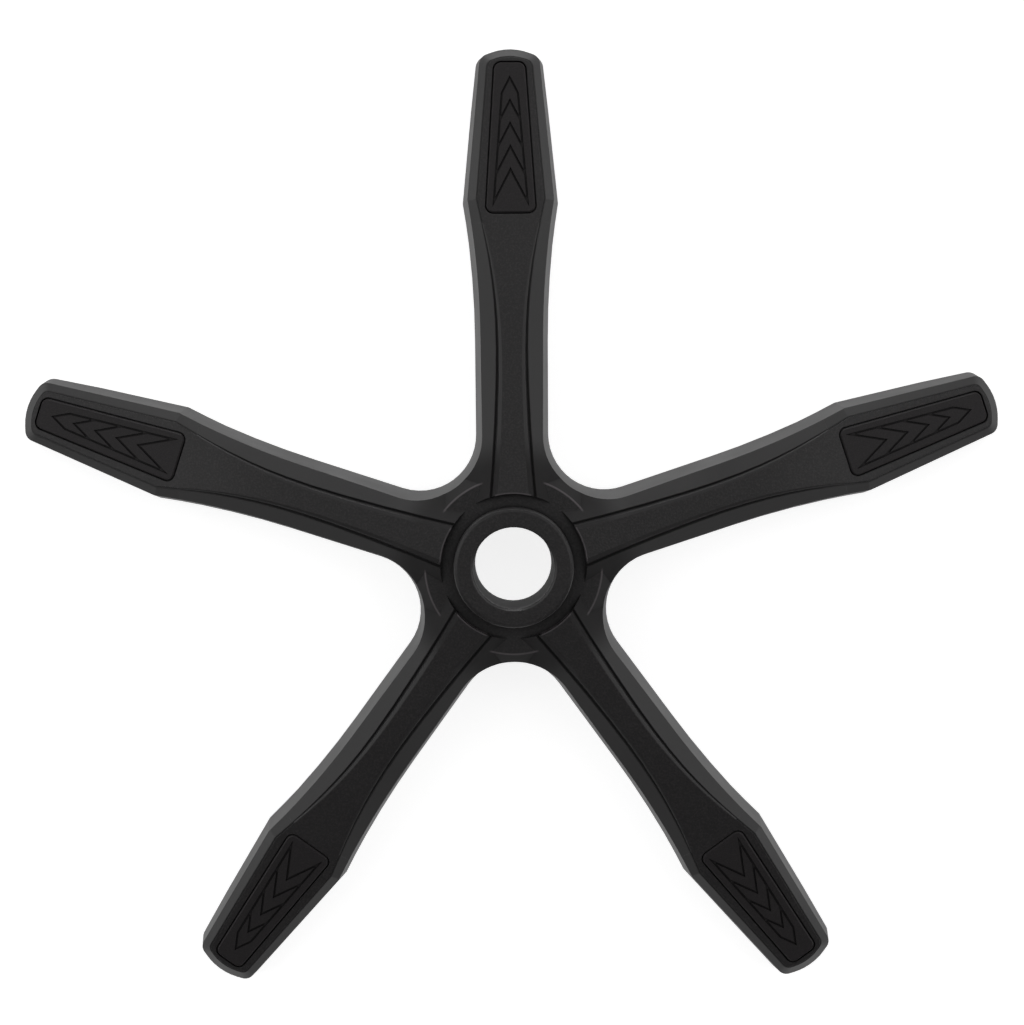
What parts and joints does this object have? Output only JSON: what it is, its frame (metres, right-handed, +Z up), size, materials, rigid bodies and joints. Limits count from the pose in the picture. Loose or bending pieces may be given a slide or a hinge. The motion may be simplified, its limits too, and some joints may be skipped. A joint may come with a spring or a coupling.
{
  "type": "office chair five star base",
  "caption": "Star base for a swivel office chair: a ribbed moulding whose arms slope to broad feet, with a tapered column socket, caster stem sockets and grooved foot pads.",
  "frame": {"origin": "on the hub axis, at the hub's lower end, where the column socket begins; the floor that the bare base stands on is 36 mm below", "axes": "+Z up along the column socket, +Y along the first arm"},
  "size_m": [0.6214, 0.5945, 0.086],
  "materials": {
    "base": "fine matte grain",
    "pad": "matte, grooved"
  },
  "bodies": {
    "root": {"star_base": "base", "foot_pad_1": "pad", "foot_pad_2": "pad", "foot_pad_3": "pad", "foot_pad_4": "pad", "foot_pad_5": "pad"}
  },
  "joints": []
}
